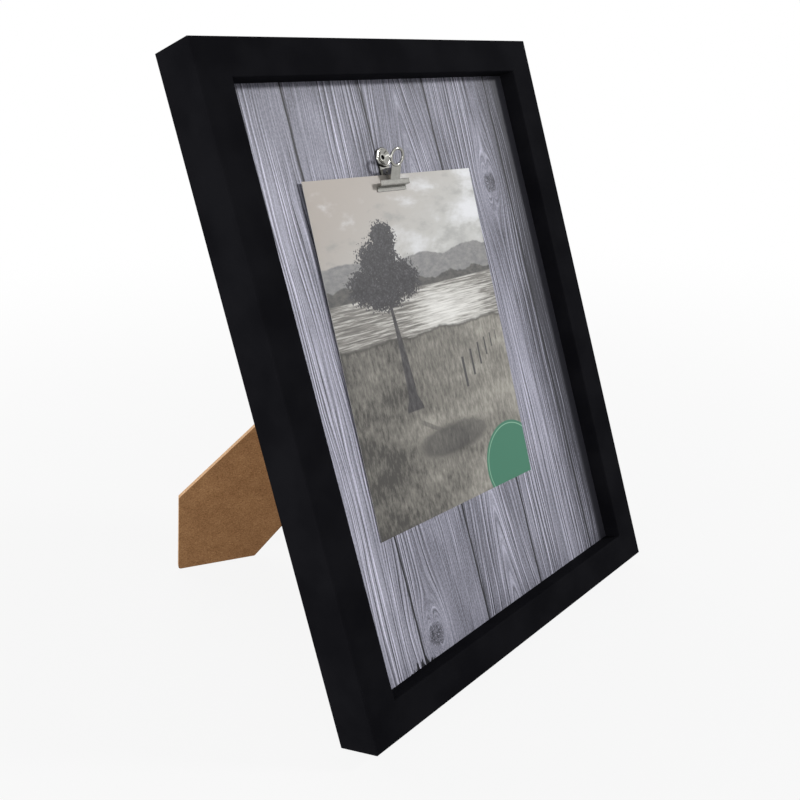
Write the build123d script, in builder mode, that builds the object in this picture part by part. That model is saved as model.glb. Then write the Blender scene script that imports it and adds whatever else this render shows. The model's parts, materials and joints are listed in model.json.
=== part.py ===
from build123d import *
from math import atan2, cos, degrees, hypot, radians, sin, tan
import os

os.makedirs("parts", exist_ok=True)

# A deep black picture frame with a printed plank board behind its recess, a ring-handled clip
# riveted to the board, a photo card in the clip and a folding easel leg for two ways of standing.
# Z is up, X is to the right seen from the front, and Y goes back. The origin is on the table,
# in the middle of the space that the standing frame takes.

# Frame moulding
frame_width = 247.6
frame_height = 330.2
frame_depth = 25.4
face_width = 18.2
rabbet_width = 6.0
recess_depth = 10.2
front_edge_radius = 0.8

# Layers in the rabbet
rabbet_play = 0.5
print_thickness = 0.3
board_thickness = 3.0
back_panel_thickness = 3.0
spacer_width = 6.0
spacer_play = 0.3

# V nails that hold the mitres together
v_nail_leg = 5.0
v_nail_sheet = 0.8
v_nail_depth = 8.0
v_nail_inset = 8.6

# Turn buttons and their screws
button_pivot_radius = 5.0
button_tip_radius = 3.6
button_reach = 14.0
button_sheet = 0.8
button_rib_height = 0.4
button_rib_width = 2.4
button_rib_start = 6.2
button_rib_length = 7.0
button_rib_taper = 30.0
button_lift = 0.1
button_bore_play = 0.08
screw_shank_radius = 1.5
screw_shank_length = 11.0
screw_point_length = 1.4
screw_head_radius = 3.1
screw_head_height = 1.7
screw_head_round = 0.8
screw_slot_width = 0.8
screw_slot_length = 3.4
screw_slot_depth = 0.9

# Sawtooth hangers and their nails
hanger_length = 44.0
hanger_width = 8.0
hanger_sheet = 0.8
hanger_foot = 9.0
hanger_ramp = 2.0
hanger_rise = 1.5
hanger_tooth_pitch = 2.4
hanger_tooth_depth = 1.5
hanger_tooth_count = 8
nail_inset = 4.0
nail_shank_radius = 0.7
nail_length = 9.0
nail_head_radius = 1.8
nail_head_height = 0.7
nail_head_round = 0.3

# Rubber bumpers on the back corners
bumper_radius = 3.9
bumper_height = 1.8
bumper_inset = 5.0
bumper_round = 0.7

# Easel leg
leg_thickness = 2.6
leg_bottom_half_width = 36.4
leg_side_half_width = 37.2
leg_top_gap = 5.0
leg_tip_side_inset = 2.3
leg_tip_bottom_inset = 3.7
leg_tip_radius = 1.8
leg_corner_radius = 1.0
leg_top_radius = 6.0
leg_taper = 3.0
leg_side_relief = 3.4
leg_open_angle = 45.0

# Easel hinge
hinge_sheet = 0.8
hinge_pin_radius = 1.2
hinge_pin_play = 0.05
hinge_axis_height = 2.35
hinge_leg_drop = 1.65
hinge_half_width = 15.0
hinge_knuckle_half = 6.0
hinge_side_play = 0.3
hinge_leaf_start = 3.0
panel_leaf_end = 19.0
leg_leaf_end = 24.0
leaf_corner_radius = 4.0
stop_reach = 9.0
stop_play = 0.1
pin_head_radius = 1.9
pin_head_height = 0.5

# Rivets of the easel hinge
rivet_shank_radius = 1.3
rivet_head_radius = 2.6
rivet_head_height = 0.8
rivet_head_round = 0.5
rivet_tail_radius = 2.1
rivet_tail_height = 0.6
rivet_spread = 9.5
panel_rivet_row = 13.5
leg_rivet_row = 15.0

# Clip: its place on the board, and its two stamped plates
clip_x = -14.0
clip_v = 106.5
clip_swing = 2.03
clip_sheet = 0.5
clip_bend_radius = 0.35
clip_seat_gap = 0.1
ring_mid_radius = 4.35
rim_radius = 0.8
neck_width = 7.0
neck_angle = 24.5
jaw_width = 21.6
jaw_bottom_drop = 17.8
rib_bottom_drop = 16.72
rib_middle_drop = 16.32
rib_top_drop = 15.92
rib_height = 0.4
step_drop = 15.4
bar_bottom_drop = 15.1
bar_top_drop = 12.95
bar_bevel = 0.5
rear_jaw_reach = 1.6
card_grip_gap = 0.05

# Clip pivot and spring
pivot_reach = 4.0
pivot_drop = 7.7
pivot_to_neck = 3.75
pivot_to_ring = 7.85
pivot_radius = 0.7
pivot_play = 0.05
pivot_side_play = 0.1
ear_radius = 1.4
ear_root_rise = 2.2
ear_root_drop = 3.4
ear_side_gap = 0.2
pivot_head_radius = 1.1
pivot_head_height = 0.4
spring_wire_radius = 0.25
spring_mid_radius = 1.25
spring_pitch = 1.0
spring_leg_angle = 60.0
spring_seat_gap = 0.1
spring_whole_turns = 4
spring_arc_pairs = 7

# Eyelet that rivets the clip to the board, and its washer
eyelet_bore_radius = 1.2
eyelet_barrel_radius = 2.0
eyelet_sheet = 0.4
eyelet_dish_height = 0.45
eyelet_flange_radius = 3.9
eyelet_flange_height = 1.61
eyelet_tail_radius = 2.8
washer_radius = 4.5
washer_thickness = 0.6

# Photo card
card_width = 127.0
card_height = 177.8
card_thickness = 0.35
card_bite = 7.2
card_side_offset = 3.4
card_tip = 0.46

# One overrun for every cut that goes right through
overrun = 1.0

# The hinge's place on the back panel, as shares of half the panel's width and height
hinge_place_shares = (0.525, 0.25)

# Places along the rails, as shares of half the frame's length there
left_button_shares = (0.52, -0.21)
right_button_shares = (0.52, -0.52)
top_button_share = -0.5
bottom_button_share = 0.34

half_width = frame_width / 2
half_height = frame_height / 2
back_width = face_width - rabbet_width
rabbet_half_width = half_width - back_width
rabbet_half_height = half_height - back_width
board_width = 2 * (rabbet_half_width - rabbet_play)
board_height = 2 * (rabbet_half_height - rabbet_play)
board_front = recess_depth + print_thickness
board_back = board_front + board_thickness
panel_front = frame_depth - back_panel_thickness

# The leg reaches from its hinge on the back panel to the lower left corner, where its tip
# lies on the bumper when it is folded.
hinge_x = hinge_place_shares[0] * board_width / 2
hinge_v = hinge_place_shares[1] * board_height / 2
tip_across = hinge_x + half_width - leg_tip_side_inset
tip_down = hinge_v + half_height - leg_tip_bottom_inset
leg_reach = hypot(tip_across, tip_down)
turned = atan2(tip_across, tip_down)

# How the frame stands. With the leg open the foot is this far down the back and this far
# behind it, and the table runs from there to the frame's lower back edge.
opened = radians(leg_open_angle)
foot_along = leg_reach * cos(opened) + hinge_leg_drop * sin(opened)
foot_behind = hinge_axis_height + leg_reach * sin(opened) - hinge_leg_drop * cos(opened)
foot_x = hinge_x - foot_along * sin(turned)
foot_v = hinge_v - foot_along * cos(turned)
lean = atan2(foot_v + half_height, foot_behind)
side_lean = atan2(foot_x + half_width, foot_behind)

# The foot's bottom edge lies flat on the table. Its side edge, for the frame on its side, is cut
# back a little from flat, so that the leg stands on its tip there.
bottom_foot_angle = atan2(tan(lean) * sin(opened) + cos(opened) * cos(turned), sin(turned))
side_flat_angle = atan2(tan(side_lean) * sin(opened) + cos(opened) * sin(turned), cos(turned))
side_foot_angle = side_flat_angle - radians(leg_side_relief)

foot_outer_v = foot_v + leg_thickness * sin(opened) * cos(turned)
foot_outer_depth = frame_depth + foot_behind + leg_thickness * cos(opened)
foremost = -half_height * sin(lean)
rearmost = foot_outer_v * sin(lean) + foot_outer_depth * cos(lean)
frame_y = -(foremost + rearmost) / 2
frame_z = half_height * cos(lean) + frame_depth * sin(lean)

# The middle of the frame's front face, with x to the right and y up the frame
face = Plane(origin=(0, frame_y, frame_z), x_dir=(1, 0, 0), z_dir=(0, -cos(lean), sin(lean)))
right = face.x_dir
up = face.y_dir
front = face.z_dir
back = front * -1
back_axis = Axis(face.origin, back)


def at(x, v, depth):
    """A point that lies x to the right, v up the frame and depth behind its front face."""
    return face.from_local_coords(Vector(x, v, -depth))


def behind(depth):
    """The plane at this depth behind the front face, looking to the front."""
    return face.offset(-depth)


def from_behind(x, v, x_dir, height=0):
    """A plane on the frame's back that looks away from it."""
    return Plane(origin=at(x, v, frame_depth + height), x_dir=x_dir, z_dir=back)


# Each rail's side: its name, the way inwards, the way along, its distance out and half length
sides = [
    ("left", right, up, half_width, half_height),
    ("right", right * -1, up * -1, half_width, half_height),
    ("top", up * -1, right, half_height, half_width),
    ("bottom", up, right * -1, half_height, half_width),
]

# V nails, one in each corner, driven in from the back
with BuildPart() as corner_nails:
    for side_x in (-1, 1):
        for side_v in (-1, 1):
            apex_x = side_x * (half_width - v_nail_inset)
            apex_v = side_v * (half_height - v_nail_inset)
            with BuildSketch(behind(frame_depth)):
                with BuildLine():
                    Polyline(
                        (apex_x + side_x * v_nail_leg, apex_v),
                        (apex_x, apex_v),
                        (apex_x, apex_v + side_v * v_nail_leg),
                    )
                trace(line_width=v_nail_sheet)
            extrude(amount=v_nail_depth)
corner_nails.part.label = "corner_nails"
export_step(corner_nails.part, "parts/corner_nails.step")

# Turn button pivots: on the middle of each rail's back, with the way to the panel
pivot_out_x = half_width - back_width / 2
pivot_out_v = half_height - back_width / 2
button_places = []
for share in left_button_shares:
    button_places.append((-pivot_out_x, share * half_height, right))
for share in right_button_shares:
    button_places.append((pivot_out_x, share * half_height, right * -1))
button_places.append((top_button_share * half_width, pivot_out_v, up * -1))
button_places.append((bottom_button_share * half_width, -pivot_out_v, up))
button_points = [(x, v) for x, v, inward in button_places]
button_top = frame_depth + 2 * button_lift + button_sheet

# Screws that the turn buttons swing on
with BuildPart() as button_screws:
    with BuildSketch(behind(button_top + screw_head_height)):
        with Locations(*button_points):
            Circle(screw_head_radius)
    extrude(amount=screw_head_height)
    head_tops = button_screws.faces().group_by(back_axis)[-1]
    fillet(head_tops.edges(), radius=screw_head_round)
    with BuildSketch(behind(button_top)):
        with Locations(*button_points):
            Circle(screw_shank_radius)
    extrude(amount=screw_shank_length)
    shank_ends = button_screws.faces().group_by(back_axis)[0]
    chamfer(shank_ends.edges(), length=screw_point_length, length2=screw_shank_radius / 2)
    with BuildSketch(behind(button_top + screw_head_height)):
        with Locations(*button_points):
            Rectangle(screw_slot_length, screw_slot_width)
            Rectangle(screw_slot_width, screw_slot_length)
    extrude(amount=screw_slot_depth, mode=Mode.SUBTRACT)
button_screws.part.label = "button_screws"
export_step(button_screws.part, "parts/button_screws.step")

# Turn buttons: tapered strips with a pressed rib, held flat over the back panel's edge
for number, (x, v, inward) in enumerate(button_places, start=1):
    button_face = from_behind(x, v, inward, button_lift)
    with BuildPart() as turn_button:
        with BuildSketch(button_face):
            Circle(button_pivot_radius)
            with Locations((button_reach, 0)):
                Circle(button_tip_radius)
            make_hull()
            Circle(screw_shank_radius + button_bore_play, mode=Mode.SUBTRACT)
        extrude(amount=button_sheet)
        with BuildSketch(button_face.offset(button_sheet)):
            with Locations((button_rib_start + button_rib_length / 2, 0)):
                SlotCenterToCenter(button_rib_length - button_rib_width, button_rib_width)
        extrude(amount=button_rib_height, taper=button_rib_taper)
    turn_button.part.label = f"turn_button_{number}"
    export_step(turn_button.part, f"parts/turn_button_{number}.step")

# Sawtooth hangers: the way along the strip, the way that its teeth point, and its middle
hanger_places = [
    ("portrait_hanger", 0, pivot_out_v, right, up * -1),
    ("landscape_hanger", pivot_out_x, 0, up, right * -1),
]
nail_reach = hanger_length / 2 - nail_inset
raised_half = hanger_length / 2 - hanger_foot - hanger_ramp
for name, x, v, along, teeth_way in hanger_places:
    strip_section = Plane(origin=at(x, v, frame_depth), x_dir=along, z_dir=along.cross(back))
    flat_level = hanger_sheet / 2
    raised_level = hanger_sheet / 2 + hanger_rise
    with BuildPart() as hanger:
        with BuildSketch(strip_section):
            with BuildLine():
                Polyline(
                    (-hanger_length / 2, flat_level),
                    (-raised_half - hanger_ramp, flat_level),
                    (-raised_half, raised_level),
                    (raised_half, raised_level),
                    (raised_half + hanger_ramp, flat_level),
                    (hanger_length / 2, flat_level),
                )
            trace(line_width=hanger_sheet)
        extrude(amount=hanger_width / 2, both=True)
        teeth_face = Plane(origin=at(x, v, frame_depth), x_dir=along, z_dir=back)
        teeth_side = teeth_way.dot(teeth_face.y_dir)
        edge = teeth_side * hanger_width / 2
        root = teeth_side * (hanger_width / 2 - hanger_tooth_depth)
        with BuildSketch(teeth_face):
            with GridLocations(hanger_tooth_pitch, 0, hanger_tooth_count, 1):
                with BuildLine():
                    Polyline(
                        (-hanger_tooth_pitch / 2, edge),
                        (hanger_tooth_pitch / 2, edge),
                        (0, root),
                        close=True,
                    )
                make_face()
        extrude(amount=hanger_rise + hanger_sheet + overrun, mode=Mode.SUBTRACT)
        with BuildSketch(teeth_face):
            with Locations((-nail_reach, 0), (nail_reach, 0)):
                Circle(nail_shank_radius)
        extrude(amount=hanger_sheet + overrun, mode=Mode.SUBTRACT)
    hanger.part.label = name
    export_step(hanger.part, f"parts/{name}.step")

# Nails of the hangers
nail_points = [
    (-nail_reach, pivot_out_v),
    (nail_reach, pivot_out_v),
    (pivot_out_x, -nail_reach),
    (pivot_out_x, nail_reach),
]
with BuildPart() as hanger_nails:
    with BuildSketch(behind(frame_depth + hanger_sheet + nail_head_height)):
        with Locations(*nail_points):
            Circle(nail_head_radius)
    extrude(amount=nail_head_height)
    nail_tops = hanger_nails.faces().group_by(back_axis)[-1]
    fillet(nail_tops.edges(), radius=nail_head_round)
    with BuildSketch(behind(frame_depth + hanger_sheet)):
        with Locations(*nail_points):
            Circle(nail_shank_radius)
    extrude(amount=nail_length)
hanger_nails.part.label = "hanger_nails"
export_step(hanger_nails.part, "parts/hanger_nails.step")

# Rails: one moulding profile with a rabbet, cut at 45 degrees at both ends
for name, inward, along, distance, half_length in sides:
    middle = face.origin - inward * distance
    with BuildPart() as rail:
        with BuildSketch(Plane(origin=middle, x_dir=inward, z_dir=along)) as section:
            with BuildLine():
                Polyline(
                    (0, 0),
                    (face_width, 0),
                    (face_width, recess_depth),
                    (back_width, recess_depth),
                    (back_width, frame_depth),
                    (0, frame_depth),
                    close=True,
                )
            make_face()
            front_corners = section.vertices().group_by(Axis.Y)[0]
            fillet(front_corners, radius=front_edge_radius)
        extrude(amount=half_length, both=True)
        for end in (1, -1):
            corner = middle + along * (end * half_length)
            split(bisect_by=Plane(origin=corner, z_dir=inward + along * end), keep=Keep.BOTTOM)
        add(corner_nails.part, mode=Mode.SUBTRACT)
        add(button_screws.part, mode=Mode.SUBTRACT)
        add(hanger_nails.part, mode=Mode.SUBTRACT)
    rail.part.label = f"{name}_rail"
    export_step(rail.part, f"parts/{name}_rail.step")

# Printed paper and the board under it
with BuildPart() as plank_print:
    with BuildSketch(behind(board_front)):
        Rectangle(board_width, board_height)
        with Locations((clip_x, clip_v)):
            Circle(eyelet_barrel_radius, mode=Mode.SUBTRACT)
    extrude(amount=print_thickness)
plank_print.part.label = "plank_print"
export_step(plank_print.part, "parts/plank_print.step")

with BuildPart() as display_board:
    with BuildSketch(behind(board_back)):
        Rectangle(board_width, board_height)
        with Locations((clip_x, clip_v)):
            Circle(eyelet_barrel_radius, mode=Mode.SUBTRACT)
    extrude(amount=board_thickness)
display_board.part.label = "display_board"
export_step(display_board.part, "parts/display_board.step")

# Spacer strips that hold the board and the back panel apart, the upright ones full length
spacer_depth = panel_front - board_back
upright_x = (board_width - spacer_width) / 2
level_v = (board_height - spacer_width) / 2
level_length = board_width - 2 * spacer_width - 2 * spacer_play
spacer_places = [
    ("left_spacer", -upright_x, 0, spacer_width, board_height),
    ("right_spacer", upright_x, 0, spacer_width, board_height),
    ("top_spacer", 0, level_v, level_length, spacer_width),
    ("bottom_spacer", 0, -level_v, level_length, spacer_width),
]
for name, x, v, width, height in spacer_places:
    with BuildPart() as spacer:
        with BuildSketch(behind(panel_front)):
            with Locations((x, v)):
                Rectangle(width, height)
        extrude(amount=spacer_depth)
    spacer.part.label = name
    export_step(spacer.part, f"parts/{name}.step")

# Bumpers on the back of the four corners
with BuildPart() as corner_bumpers:
    with BuildSketch(behind(frame_depth)):
        with GridLocations(frame_width - 2 * bumper_inset, frame_height - 2 * bumper_inset, 2, 2):
            Circle(bumper_radius)
    extrude(amount=-bumper_height)
    bumper_tops = corner_bumpers.faces().group_by(back_axis)[-1]
    fillet(bumper_tops.edges(), radius=bumper_round)
corner_bumpers.part.label = "corner_bumpers"
export_step(corner_bumpers.part, "parts/corner_bumpers.step")

# The hinge's axis, and the ways in which the leg lies when folded and when open
folded_way = right * -sin(turned) - up * cos(turned)
hinge_way = right * cos(turned) - up * sin(turned)
leg_way = folded_way * cos(opened) + back * sin(opened)
leg_outward = back * cos(opened) - folded_way * sin(opened)
hinge_point = at(hinge_x, hinge_v, frame_depth + hinge_axis_height)
panel_section = Plane(origin=hinge_point, x_dir=folded_way, z_dir=hinge_way)
leg_section = Plane(origin=hinge_point, x_dir=leg_way, z_dir=hinge_way)
leg_inner_face = Plane(
    origin=hinge_point - leg_outward * hinge_leg_drop, x_dir=hinge_way, z_dir=leg_outward * -1
)
leg_outer_level = leg_thickness - hinge_leg_drop
leg_leaf_face = Plane(
    origin=hinge_point + leg_outward * leg_outer_level, x_dir=hinge_way, z_dir=leg_outward
)
panel_leaf_face = from_behind(hinge_x, hinge_v, hinge_way)
hinge_bore_radius = hinge_pin_radius + hinge_pin_play
knuckle_radius = hinge_bore_radius + hinge_sheet
panel_rivet_points = [(place, -panel_rivet_row) for place in (-rivet_spread, 0, rivet_spread)]
leg_rivet_points = [(-rivet_spread, leg_rivet_row), (rivet_spread, leg_rivet_row)]

# Rivets through the panel leaf and the back panel
with BuildPart() as panel_rivets:
    with BuildSketch(panel_leaf_face.offset(hinge_sheet)):
        with Locations(*panel_rivet_points):
            Circle(rivet_head_radius)
    extrude(amount=rivet_head_height)
    rivet_tops = panel_rivets.faces().group_by(back_axis)[-1]
    fillet(rivet_tops.edges(), radius=rivet_head_round)
    with BuildSketch(panel_leaf_face.offset(hinge_sheet)):
        with Locations(*panel_rivet_points):
            Circle(rivet_shank_radius)
    extrude(amount=-hinge_sheet - back_panel_thickness)
    with BuildSketch(panel_leaf_face.offset(-back_panel_thickness)):
        with Locations(*panel_rivet_points):
            Circle(rivet_tail_radius)
    extrude(amount=-rivet_tail_height)
panel_rivets.part.label = "panel_rivets"
export_step(panel_rivets.part, "parts/panel_rivets.step")

# Rivets through the leg leaf and the leg, clinched flush so that the leg folds flat
with BuildPart() as leg_rivets:
    with BuildSketch(leg_leaf_face.offset(hinge_sheet)):
        with Locations(*leg_rivet_points):
            Circle(rivet_head_radius)
    extrude(amount=rivet_head_height)
    rivet_tops = leg_rivets.faces().group_by(Axis(hinge_point, leg_outward))[-1]
    fillet(rivet_tops.edges(), radius=rivet_head_round)
    with BuildSketch(leg_leaf_face.offset(hinge_sheet)):
        with Locations(*leg_rivet_points):
            Circle(rivet_shank_radius)
    extrude(amount=-hinge_sheet - leg_thickness)
leg_rivets.part.label = "leg_rivets"
export_step(leg_rivets.part, "parts/leg_rivets.step")

# Back panel, flush with the rails' backs
with BuildPart() as back_panel:
    with BuildSketch(behind(frame_depth)):
        Rectangle(board_width, board_height)
    extrude(amount=back_panel_thickness)
    add(panel_rivets.part, mode=Mode.SUBTRACT)
back_panel.part.label = "back_panel"
export_step(back_panel.part, "parts/back_panel.step")

# Panel leaf: a plate on the panel and two knuckles, open in the middle for the leg's knuckle
knuckle_start = hinge_knuckle_half + hinge_side_play
knuckle_length = hinge_half_width - knuckle_start
leaf_top = hinge_sheet - hinge_axis_height
with BuildPart() as hinge_panel_leaf:
    with BuildSketch(panel_leaf_face) as plate:
        with Locations((0, -(hinge_leaf_start + panel_leaf_end) / 2)):
            Rectangle(2 * hinge_half_width, panel_leaf_end - hinge_leaf_start)
        far_corners = plate.vertices().group_by(Axis.Y)[0]
        fillet(far_corners, radius=leaf_corner_radius)
        with Locations(*panel_rivet_points):
            Circle(rivet_shank_radius, mode=Mode.SUBTRACT)
    extrude(amount=hinge_sheet)
    for start in (-hinge_half_width, knuckle_start):
        with BuildSketch(panel_section.offset(start)):
            Circle(knuckle_radius)
            with Locations((-hinge_leaf_start / 2, leaf_top - hinge_sheet / 2)):
                Rectangle(hinge_leaf_start, hinge_sheet)
            Circle(hinge_bore_radius, mode=Mode.SUBTRACT)
        extrude(amount=knuckle_length)
hinge_panel_leaf.part.label = "hinge_panel_leaf"
export_step(hinge_panel_leaf.part, "parts/hinge_panel_leaf.step")

# Leg leaf: a plate on the leg, the middle knuckle, and the tail that stops the open leg
# by lying down on the panel leaf
stop_level = leaf_top + stop_play
with BuildPart() as hinge_leg_leaf:
    with BuildSketch(leg_leaf_face) as plate:
        with Locations((0, (hinge_leaf_start + leg_leaf_end) / 2)):
            Rectangle(2 * hinge_half_width, leg_leaf_end - hinge_leaf_start)
        far_corners = plate.vertices().group_by(Axis.Y)[-1]
        fillet(far_corners, radius=leaf_corner_radius)
        with Locations(*leg_rivet_points):
            Circle(rivet_shank_radius, mode=Mode.SUBTRACT)
    extrude(amount=hinge_sheet)
    with BuildSketch(leg_section.offset(-hinge_knuckle_half)):
        Circle(knuckle_radius)
        with Locations((hinge_leaf_start / 2, leg_outer_level + hinge_sheet / 2)):
            Rectangle(hinge_leaf_start, hinge_sheet)
    extrude(amount=2 * hinge_knuckle_half)
    with BuildSketch(panel_section.offset(-hinge_knuckle_half)):
        with Locations((-stop_reach / 2, stop_level + hinge_sheet / 2)):
            Rectangle(stop_reach, hinge_sheet)
    extrude(amount=2 * hinge_knuckle_half)
    with BuildSketch(leg_section.offset(-hinge_knuckle_half)):
        Circle(hinge_bore_radius)
    extrude(amount=2 * hinge_knuckle_half, mode=Mode.SUBTRACT)
hinge_leg_leaf.part.label = "hinge_leg_leaf"
export_step(hinge_leg_leaf.part, "parts/hinge_leg_leaf.step")

# Hinge pin with a peened head at each end
with BuildPart() as hinge_pin:
    with BuildSketch(panel_section):
        Circle(hinge_pin_radius)
    extrude(amount=hinge_half_width + pin_head_height, both=True)
    for end in (1, -1):
        with BuildSketch(panel_section.offset(end * hinge_half_width)):
            Circle(pin_head_radius)
        extrude(amount=end * pin_head_height)
hinge_pin.part.label = "hinge_pin"
export_step(hinge_pin.part, "parts/hinge_pin.step")

# Easel leg: it widens from the hinge to a foot with two straight edges
taper = radians(leg_taper)
bottom_shoulder = leg_bottom_half_width / tan(bottom_foot_angle) - leg_reach
side_shoulder = leg_side_half_width / tan(side_foot_angle) - leg_reach
bottom_top_width = leg_bottom_half_width + (bottom_shoulder + leg_top_gap) * tan(taper)
side_top_width = leg_side_half_width + (side_shoulder + leg_top_gap) * tan(taper)
with BuildPart() as easel_leg:
    with BuildSketch(leg_inner_face) as outline:
        with BuildLine():
            Polyline(
                (0, -leg_reach),
                (leg_bottom_half_width, bottom_shoulder),
                (bottom_top_width, -leg_top_gap),
                (-side_top_width, -leg_top_gap),
                (-leg_side_half_width, side_shoulder),
                close=True,
            )
        make_face()
        levels = outline.vertices().sort_by(Axis.Y)
        fillet(levels[0], radius=leg_tip_radius)
        shoulders = outline.vertices().sort_by(Axis.Y)[2:4]
        fillet(shoulders, radius=leg_corner_radius)
        top_corners = outline.vertices().group_by(Axis.Y)[-1]
        fillet(top_corners, radius=leg_top_radius)
    extrude(amount=-leg_thickness)
    add(leg_rivets.part, mode=Mode.SUBTRACT)
easel_leg.part.label = "easel_leg"
export_step(easel_leg.part, "parts/easel_leg.step")

# The clip has swung a little on its rivet. These are its own ways across and up the board
swung = radians(clip_swing)
clip_across = right * cos(swung) - up * sin(swung)
clip_up = up * cos(swung) + right * sin(swung)
clip_face = Plane(origin=at(clip_x, clip_v, recess_depth), x_dir=clip_across, z_dir=front)

# The clip's side view: its own x runs forwards from the print, its own y up the clip
clip_side = Plane(origin=clip_face.origin, x_dir=front, z_dir=clip_across * -1)
pivot = clip_side.from_local_coords(Vector(pivot_reach, -pivot_drop, 0))
neck_lean = radians(neck_angle)
neck_front = front * cos(neck_lean) - clip_up * sin(neck_lean)
neck_up = clip_up * cos(neck_lean) + front * sin(neck_lean)
neck_side = Plane(origin=pivot, x_dir=neck_front, z_dir=clip_across * -1)
pivot_side = Plane(origin=pivot, x_dir=front, z_dir=clip_across * -1)
neck_face = Plane(origin=pivot + neck_front * pivot_to_neck, x_dir=clip_across, z_dir=neck_front)

# The front plate's bar stands where the leaning neck reaches the bar's top
bar_above_pivot = pivot_drop - bar_top_drop
bar_reach = pivot_reach + (pivot_to_neck + bar_above_pivot * sin(neck_lean)) / cos(neck_lean)
front_jaw_reach = rear_jaw_reach + card_thickness + 2 * card_grip_gap
front_jaw_middle = front_jaw_reach + clip_sheet / 2
rear_jaw_middle = rear_jaw_reach - clip_sheet / 2
rear_plate_middle = clip_seat_gap + clip_sheet / 2
neck_bottom = bar_above_pivot * cos(neck_lean) + (bar_reach - pivot_reach) * sin(neck_lean)
neck_top = pivot_to_ring - ring_mid_radius + rim_radius
ear_outer = neck_width / 2
ear_inner = ear_outer - 2 * clip_sheet - ear_side_gap

# Front plate: ribbed jaw, bar, leaning neck with its sides bent back into tapered ears, and the
# rolled ring handle
with BuildPart() as clip_front_plate:
    with BuildSketch(clip_side):
        with BuildLine():
            FilletPolyline(
                (front_jaw_middle, -jaw_bottom_drop),
                (front_jaw_middle, -rib_bottom_drop),
                (front_jaw_middle + rib_height, -rib_middle_drop),
                (front_jaw_middle, -rib_top_drop),
                (front_jaw_middle, -step_drop),
                (bar_reach, -bar_bottom_drop),
                (bar_reach, -bar_top_drop),
                (bar_reach + bar_bevel * sin(neck_lean), bar_bevel * cos(neck_lean) - bar_top_drop),
                radius=clip_bend_radius,
            )
        trace(line_width=clip_sheet)
    extrude(amount=jaw_width / 2, both=True)
    with BuildSketch(neck_face):
        with Locations((0, (neck_bottom + neck_top) / 2)):
            Rectangle(neck_width, neck_top - neck_bottom)
        with Locations((0, pivot_to_ring)):
            Circle(ring_mid_radius, mode=Mode.SUBTRACT)
    extrude(amount=clip_sheet / 2, both=True)
    for start in (-ear_outer, ear_outer - clip_sheet):
        with BuildSketch(neck_side.offset(start)):
            Circle(ear_radius)
            with Locations((pivot_to_neck, (ear_root_rise - ear_root_drop) / 2)):
                Rectangle(clip_sheet, ear_root_rise + ear_root_drop)
            make_hull()
            Circle(pivot_radius + pivot_play, mode=Mode.SUBTRACT)
        extrude(amount=clip_sheet)
    with BuildSketch(neck_side):
        with Locations((pivot_to_neck, pivot_to_ring + ring_mid_radius)):
            Circle(rim_radius)
    revolve(axis=Axis(neck_face.origin + neck_up * pivot_to_ring, neck_front))
clip_front_plate.part.label = "clip_front_plate"
export_step(clip_front_plate.part, "parts/clip_front_plate.step")

# Rear plate: it lies on the print, and its jaw steps forward under the card
with BuildPart() as clip_rear_plate:
    with BuildSketch(clip_side):
        with BuildLine():
            FilletPolyline(
                (rear_jaw_middle, -jaw_bottom_drop),
                (rear_jaw_middle, -step_drop),
                (rear_plate_middle, -bar_bottom_drop),
                (rear_plate_middle, -bar_top_drop + bar_bevel),
                radius=clip_bend_radius,
            )
        trace(line_width=clip_sheet)
    extrude(amount=jaw_width / 2, both=True)
    with BuildSketch(clip_face.offset(clip_seat_gap)):
        with Locations((0, (rim_radius - ring_mid_radius - bar_top_drop) / 2)):
            Rectangle(neck_width, bar_top_drop + rim_radius - ring_mid_radius)
        Circle(ring_mid_radius, mode=Mode.SUBTRACT)
    extrude(amount=clip_sheet)
    for start in (-ear_inner - clip_sheet, ear_inner):
        with BuildSketch(pivot_side.offset(start)):
            Circle(ear_radius)
            with Locations(((rear_plate_middle - pivot_reach) / 2, 0)):
                Rectangle(pivot_reach - rear_plate_middle, 2 * ear_radius)
            Circle(pivot_radius, mode=Mode.SUBTRACT)
        extrude(amount=clip_sheet)
    with BuildSketch(clip_side):
        with Locations((clip_seat_gap + rim_radius, ring_mid_radius)):
            Circle(rim_radius)
    revolve(axis=Axis(clip_face.origin, front))
clip_rear_plate.part.label = "clip_rear_plate"
export_step(clip_rear_plate.part, "parts/clip_rear_plate.step")

# Pivot pin through the four ears
with BuildPart() as clip_pin:
    with BuildSketch(pivot_side):
        Circle(pivot_radius)
    extrude(amount=ear_outer + pivot_side_play + pivot_head_height, both=True)
    for end in (1, -1):
        with BuildSketch(pivot_side.offset(end * (ear_outer + pivot_side_play))):
            Circle(pivot_head_radius)
        extrude(amount=end * pivot_head_height)
clip_pin.part.label = "clip_pin"
export_step(clip_pin.part, "parts/clip_pin.step")

# Torsion spring on the pin. Its wire comes in from the rear neck, winds forwards along the
# pin and leaves to the front neck, so each leg presses its own plate away from the other.
leg_turn = radians(spring_leg_angle)
rear_wire_reach = pivot_reach - clip_seat_gap - clip_sheet - spring_wire_radius - spring_seat_gap
front_wire_reach = pivot_to_neck - clip_sheet / 2 - spring_wire_radius - spring_seat_gap
rear_leg_length = (rear_wire_reach - spring_mid_radius * cos(leg_turn)) / sin(leg_turn)
front_leg_length = (front_wire_reach - spring_mid_radius * cos(leg_turn)) / sin(leg_turn)
coil_start = radians(180) + leg_turn
coil_end = radians(360 * spring_whole_turns) - leg_turn - neck_lean
coil_length = spring_pitch * (coil_end - coil_start) / radians(360)
coil_rise = spring_pitch / radians(360)


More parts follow.
